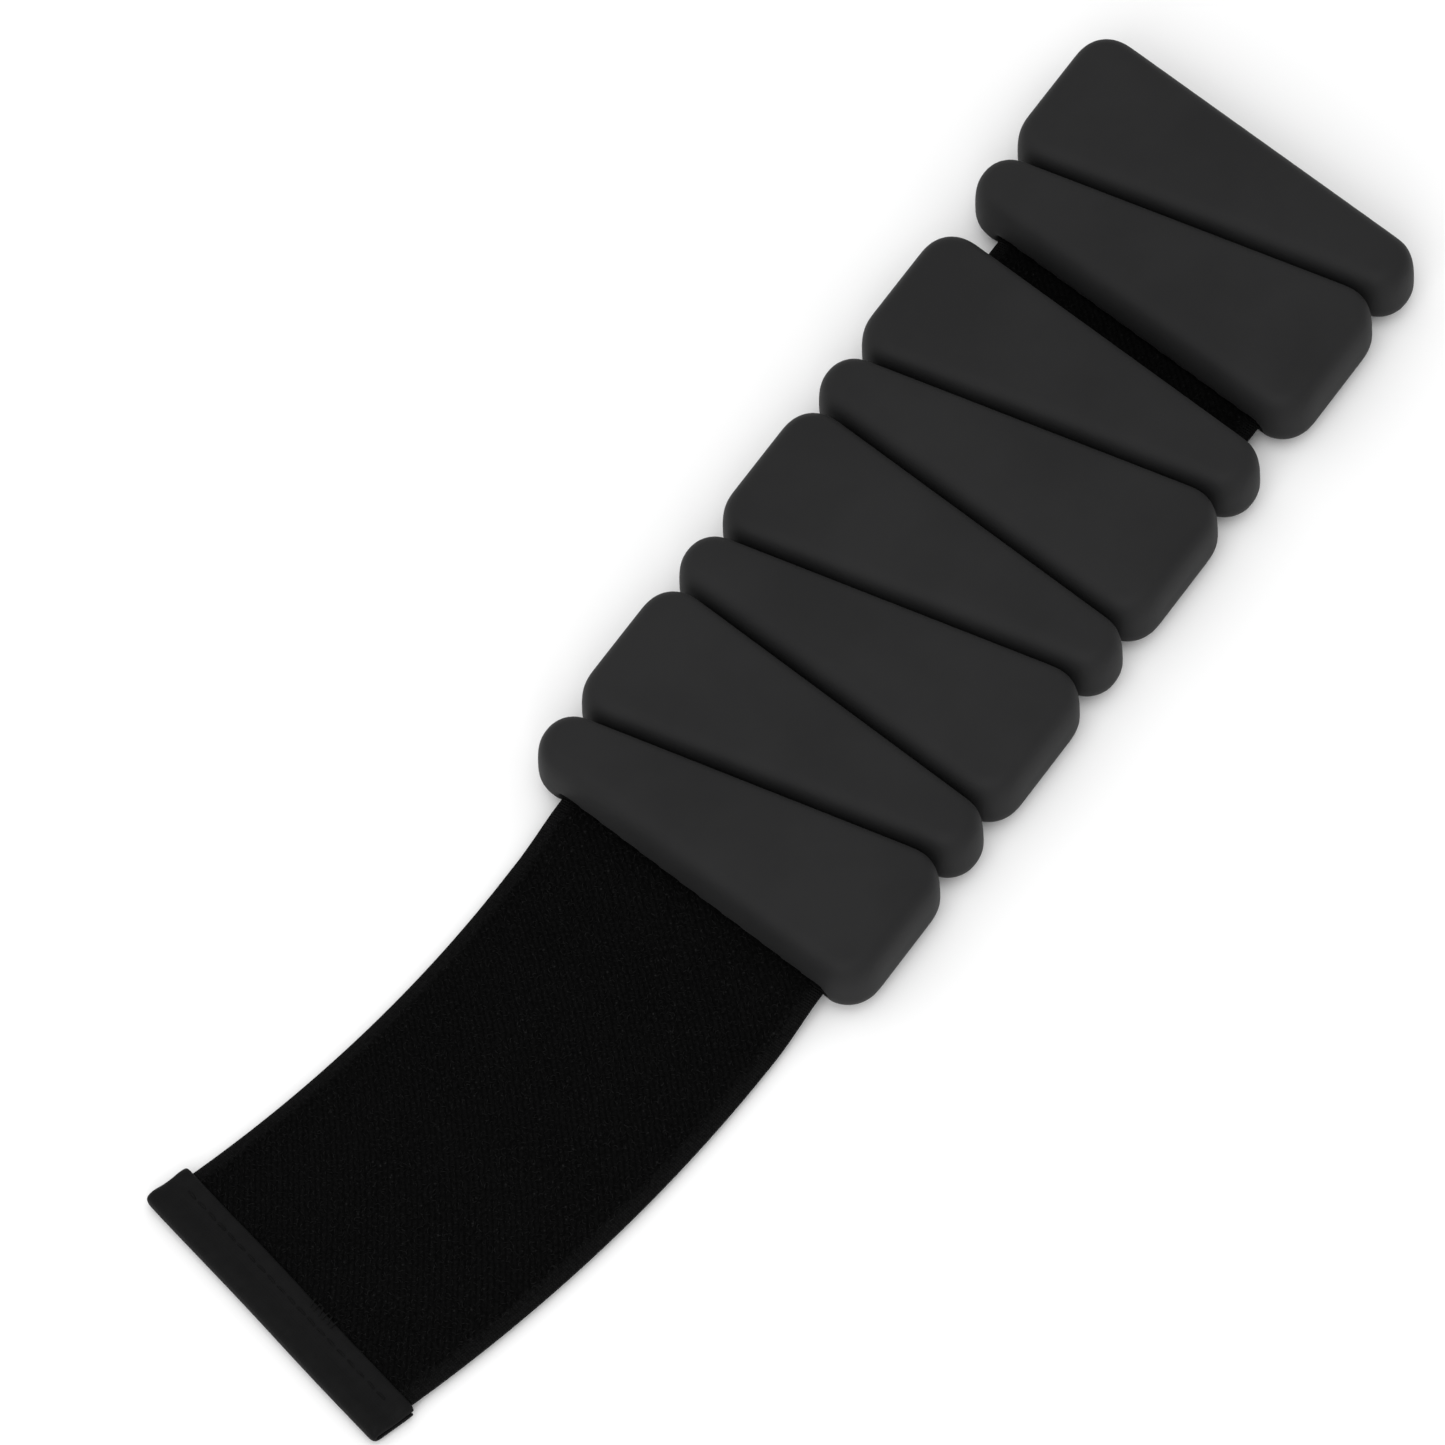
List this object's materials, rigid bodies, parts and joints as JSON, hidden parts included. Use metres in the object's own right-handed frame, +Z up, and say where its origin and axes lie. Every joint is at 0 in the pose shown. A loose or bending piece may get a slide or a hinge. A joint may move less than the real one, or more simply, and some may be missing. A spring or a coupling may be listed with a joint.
{
  "type": "ankle cuff weight",
  "caption": "Open wraparound cuff weight: wedge-shaped silicone beads with steel cores strung on a wide elastic strap whose free tail ends in a bound cap.",
  "frame": {"origin": "centre of the laid-out outline, on the surface that the beads rest on", "axes": "+X runs along the row of beads from the strap tail to the first bead, +Y along the beads, +Z up from the surface through the domed faces"},
  "size_m": [0.2898, 0.079, 0.014],
  "materials": {
    "silicone": "soft-touch matte silicone, near black",
    "weight_steel": "plain machined steel bar, hidden in the silicone",
    "strap_loop_pile": "black elastic with a brushed loop pile and smooth woven edges",
    "hook_tape": "black moulded hook tape",
    "anchor_steel": "plain steel dowel, hidden in the silicone",
    "end_binding": "smooth folded binding tape, dark grey, sewn through"
  },
  "bodies": {
    "bead_1": {"bead_1_jacket": "silicone", "bead_1_steel_core": "weight_steel", "bead_1_hook_pad": "hook_tape", "strap_anchor_pin_1": "anchor_steel", "strap_anchor_pin_2": "anchor_steel", "strap_anchor_pin_3": "anchor_steel", "strap_span_1": "strap_loop_pile"},
    "bead_2": {"bead_2_jacket": "silicone", "bead_2_steel_core": "weight_steel", "bead_2_hook_pad": "hook_tape", "strap_span_2": "strap_loop_pile"},
    "stretch_link": {"strap_stretch_span": "strap_loop_pile"},
    "bead_3": {"bead_3_jacket": "silicone", "bead_3_steel_core": "weight_steel", "strap_span_3": "strap_loop_pile"},
    "bead_4": {"bead_4_jacket": "silicone", "bead_4_steel_core": "weight_steel", "strap_span_4": "strap_loop_pile"},
    "bead_5": {"bead_5_jacket": "silicone", "bead_5_steel_core": "weight_steel", "strap_span_5": "strap_loop_pile"},
    "bead_6": {"bead_6_jacket": "silicone", "bead_6_steel_core": "weight_steel", "strap_span_6": "strap_loop_pile"},
    "bead_7": {"bead_7_jacket": "silicone", "bead_7_steel_core": "weight_steel", "strap_span_7": "strap_loop_pile"},
    "bead_8": {"bead_8_jacket": "silicone", "bead_8_steel_core": "weight_steel", "strap_span_8": "strap_loop_pile"},
    "tail_1": {"strap_tail_1": "strap_loop_pile", "strap_tail_2": "strap_loop_pile"},
    "tail_2": {"strap_tail_3": "strap_loop_pile"},
    "tail_3": {"strap_tail_4": "strap_loop_pile"},
    "tail_4": {"strap_tail_5": "strap_loop_pile"},
    "tail_end": {"strap_tail_6": "strap_loop_pile", "end_cap": "end_binding"}
  },
  "joints": [
    {"name": "fold_1_2", "type": "hinge", "parent": "bead_2", "child": "bead_1", "pos_m": [0.12005, -0.00351, 0.0035], "axis": [-0.1392, 0.9903, 0], "range_deg": [-4, 43]},
    {"name": "strap_stretch", "type": "slide", "parent": "stretch_link", "child": "bead_2", "axis": [-1, 0, 0], "range_m": [-0.004, 0.0036], "stiffness_N_per_m": 300},
    {"name": "fold_2_3", "type": "hinge", "parent": "bead_3", "child": "stretch_link", "pos_m": [0.09345, -0.00351, 0.0035], "axis": [0.1392, 0.9903, 0], "range_deg": [-4, 43]},
    {"name": "fold_3_4", "type": "hinge", "parent": "bead_4", "child": "bead_3", "pos_m": [0.07245, -0.00351, 0.0035], "axis": [-0.1392, 0.9903, 0], "range_deg": [-4, 43]},
    {"name": "fold_4_5", "type": "hinge", "parent": "bead_4", "child": "bead_5", "pos_m": [0.05145, -0.00351, 0.0035], "axis": [-0.1392, -0.9903, 0], "range_deg": [-4, 43]},
    {"name": "fold_5_6", "type": "hinge", "parent": "bead_5", "child": "bead_6", "pos_m": [0.03045, -0.00351, 0.0035], "axis": [0.1392, -0.9903, 0], "range_deg": [-4, 43]},
    {"name": "fold_6_7", "type": "hinge", "parent": "bead_6", "child": "bead_7", "pos_m": [0.00945, -0.00351, 0.0035], "axis": [-0.1392, -0.9903, 0], "range_deg": [-4, 43]},
    {"name": "fold_7_8", "type": "hinge", "parent": "bead_7", "child": "bead_8", "pos_m": [-0.01155, -0.00351, 0.0035], "axis": [0.1392, -0.9903, 0], "range_deg": [-4, 43]},
    {"name": "tail_fold_1", "type": "hinge", "parent": "bead_8", "child": "tail_1", "pos_m": [-0.03255, -0.00351, 0.0035], "axis": [-0.1392, -0.9903, 0], "range_deg": [-20, 73]},
    {"name": "tail_fold_2", "type": "hinge", "parent": "tail_1", "child": "tail_2", "pos_m": [-0.06224, -0.00302, 0.0019], "axis": [-0.0593, -0.9982, 0], "range_deg": [-35, 48]},
    {"name": "tail_fold_3", "type": "hinge", "parent": "tail_2", "child": "tail_3", "pos_m": [-0.07897, -0.00153, 0.0019], "axis": [-0.1184, -0.993, 0], "range_deg": [-35, 50]},
    {"name": "tail_fold_4", "type": "hinge", "parent": "tail_3", "child": "tail_4", "pos_m": [-0.09558, 0.00095, 0.0019], "axis": [-0.1771, -0.9842, 0], "range_deg": [-35, 50]},
    {"name": "tail_fold_5", "type": "hinge", "parent": "tail_4", "child": "tail_end", "pos_m": [-0.11202, 0.00442, 0.0019], "axis": [-0.2351, -0.972, 0], "range_deg": [-35, 66]}
  ]
}
